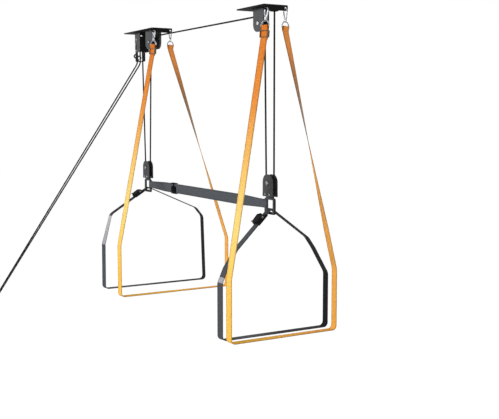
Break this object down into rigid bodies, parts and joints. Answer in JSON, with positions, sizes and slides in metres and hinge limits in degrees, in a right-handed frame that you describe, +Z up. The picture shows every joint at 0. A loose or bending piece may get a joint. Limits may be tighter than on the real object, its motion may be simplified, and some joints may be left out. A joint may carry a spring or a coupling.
{
  "type": "ceiling storage hoist",
  "caption": "Ceiling storage hoist with a brake-end and a far-end plate, one rope reeved over sheaves to moving blocks, webbing slings with cam buckles, and hooked safety straps.",
  "frame": {"origin": "middle of the brake plate's four-screw pattern, on the ceiling face", "axes": "+X from the brake end to the far end, +Z up into the ceiling, -Y is the side with the buckles"},
  "size_m": [1.2347, 0.7487, 1.0176],
  "materials": {
    "black_steel": "black powder coat",
    "zinc_steel": "bright zinc plate",
    "nylon": "moulded nylon",
    "rope": "braided cord with pale flecks",
    "black_webbing": "woven webbing",
    "orange_webbing": "woven webbing",
    "slider_plastic": "moulded"
  },
  "bodies": {
    "ceiling_frame": {"main_plate": "black_steel", "end_plate": "black_steel", "main_yoke": "black_steel", "end_yoke": "black_steel", "yoke_axles": "black_steel", "axle_spacers": "zinc_steel", "rope_anchor": "black_steel", "brake_housing": "black_steel", "brake_roller_pin": "black_steel", "brake_anvil": "zinc_steel", "rope_guide": "black_steel", "guide_rivets": "black_steel", "hoist_rope": "rope", "rope_fall_dead": "rope", "rope_fall_end": "rope", "rope_fall_main": "rope", "rope_fall_brake": "rope", "pull_rope": "rope", "snap_hooks": "zinc_steel", "gate_pins": "zinc_steel", "strap_rings": "zinc_steel", "strap_adjusters": "black_steel", "main_safety_strap": "orange_webbing", "end_safety_strap": "orange_webbing"},
    "end_block": {"end_block_cheek_near": "black_steel", "end_block_cheek_far": "black_steel", "end_block_axle": "black_steel", "end_hanger": "black_steel", "end_hanger_rivets": "black_steel", "end_hanger_spacers": "zinc_steel", "end_sling": "black_webbing", "end_buckle_frame": "black_steel", "end_buckle_pin": "black_steel", "spacer_strap": "black_webbing", "spacer_slider": "slider_plastic", "rope_wrap_end": "rope"},
    "main_block": {"main_block_cheek_near": "black_steel", "main_block_cheek_far": "black_steel", "main_block_axle": "black_steel", "main_hanger": "black_steel", "main_hanger_rivets": "black_steel", "main_hanger_spacers": "zinc_steel", "main_sling": "black_webbing", "main_buckle_frame": "black_steel", "main_buckle_pin": "black_steel", "rope_wrap_main": "rope"},
    "main_sheave": {"main_sheave": "nylon"},
    "end_sheave": {"end_sheave": "nylon"},
    "main_block_sheave": {"main_block_sheave": "nylon"},
    "end_block_sheave": {"end_block_sheave": "nylon"},
    "brake_roller": {"brake_roller": "nylon"},
    "lock": {"lock_roller": "zinc_steel", "lock_clips": "black_steel"},
    "main_buckle_lever": {"main_buckle_lever": "black_steel"},
    "end_buckle_lever": {"end_buckle_lever": "black_steel"},
    "main_hook_gate_near": {"main_hook_gate_near": "zinc_steel"},
    "main_hook_gate_far": {"main_hook_gate_far": "zinc_steel"},
    "end_hook_gate_near": {"end_hook_gate_near": "zinc_steel"},
    "end_hook_gate_far": {"end_hook_gate_far": "zinc_steel"}
  },
  "joints": [
    {"name": "lift_end", "type": "slide", "parent": "ceiling_frame", "child": "end_block", "axis": [0, 0, 1], "range_m": [-0.34, 0.36], "deforming": ["rope_fall_dead", "rope_fall_end"]},
    {"name": "lift_main", "type": "slide", "parent": "ceiling_frame", "child": "main_block", "axis": [0, 0, 1], "range_m": [-0.34, 0.36], "deforming": ["rope_fall_main", "rope_fall_brake"]},
    {"name": "end_sheave_spin", "type": "hinge", "parent": "ceiling_frame", "child": "end_sheave", "pos_m": [0.792, 0, -0.0436], "axis": [0, 1, 0], "range_deg": [-2032, 1921]},
    {"name": "main_sheave_spin", "type": "hinge", "parent": "ceiling_frame", "child": "main_sheave", "pos_m": [0.054, 0, -0.0436], "axis": [0, 1, 0], "range_deg": [-2032, 1921]},
    {"name": "end_block_sheave_spin", "type": "hinge", "parent": "end_block", "child": "end_block_sheave", "pos_m": [0.84255, 0, -0.483], "axis": [0, 1, 0], "range_deg": [-970, 1026]},
    {"name": "main_block_sheave_spin", "type": "hinge", "parent": "main_block", "child": "main_block_sheave", "pos_m": [-0.00625, 0, -0.483], "axis": [0, 1, 0], "range_deg": [-2871, 3039]},
    {"name": "brake_roller_spin", "type": "hinge", "parent": "ceiling_frame", "child": "brake_roller", "pos_m": [-0.0555, 0, -0.026], "axis": [0, 1, 0], "range_deg": [-8705, 8222]},
    {"name": "lock_slide", "type": "slide", "parent": "ceiling_frame", "child": "lock", "axis": [0.1516, 0, -0.9884], "range_m": [0, 0.01517]},
    {"name": "main_lever_turn", "type": "hinge", "parent": "main_block", "child": "main_buckle_lever", "pos_m": [-0.00732, -0.03746, -0.56576], "axis": [-1, 0, 0], "range_deg": [0, 60], "stiffness_Nm_per_rad": 0.05, "springref_deg": -11.46},
    {"name": "end_lever_turn", "type": "hinge", "parent": "end_block", "child": "end_buckle_lever", "pos_m": [0.84362, -0.0344, -0.57367], "axis": [-1, 0, 0], "range_deg": [0, 60], "stiffness_Nm_per_rad": 0.05, "springref_deg": -11.46},
    {"name": "main_gate_near_turn", "type": "hinge", "parent": "ceiling_frame", "child": "main_hook_gate_near", "pos_m": [0.13403, -0.03206, -0.0345], "axis": [0, -0.9962, 0.0872], "range_deg": [0, 25], "stiffness_Nm_per_rad": 0.02, "springref_deg": -8.59},
    {"name": "main_gate_far_turn", "type": "hinge", "parent": "ceiling_frame", "child": "main_hook_gate_far", "pos_m": [0.13403, 0.03, -0.03459], "axis": [0, -1, 0], "range_deg": [0, 25], "stiffness_Nm_per_rad": 0.02, "springref_deg": -8.59},
    {"name": "end_gate_near_turn", "type": "hinge", "parent": "ceiling_frame", "child": "end_hook_gate_near", "pos_m": [0.87603, -0.03206, -0.0345], "axis": [0, -0.9962, 0.0872], "range_deg": [0, 25], "stiffness_Nm_per_rad": 0.02, "springref_deg": -8.59},
    {"name": "end_gate_far_turn", "type": "hinge", "parent": "ceiling_frame", "child": "end_hook_gate_far", "pos_m": [0.87603, 0.03, -0.03459], "axis": [0, -1, 0], "range_deg": [0, 25], "stiffness_Nm_per_rad": 0.02, "springref_deg": -8.59}
  ],
  "couplings": [
    {"joint": "lift_main", "follows": "lift_end", "ratio": 1},
    {"joint": "end_sheave_spin", "follows": "lift_end", "rad_per_m": -97.561},
    {"joint": "main_sheave_spin", "follows": "lift_end", "rad_per_m": -97.561},
    {"joint": "end_block_sheave_spin", "follows": "lift_end", "rad_per_m": 48.78},
    {"joint": "main_block_sheave_spin", "follows": "lift_end", "rad_per_m": 146.34},
    {"joint": "brake_roller_spin", "follows": "lift_end", "rad_per_m": -421.05}
  ]
}
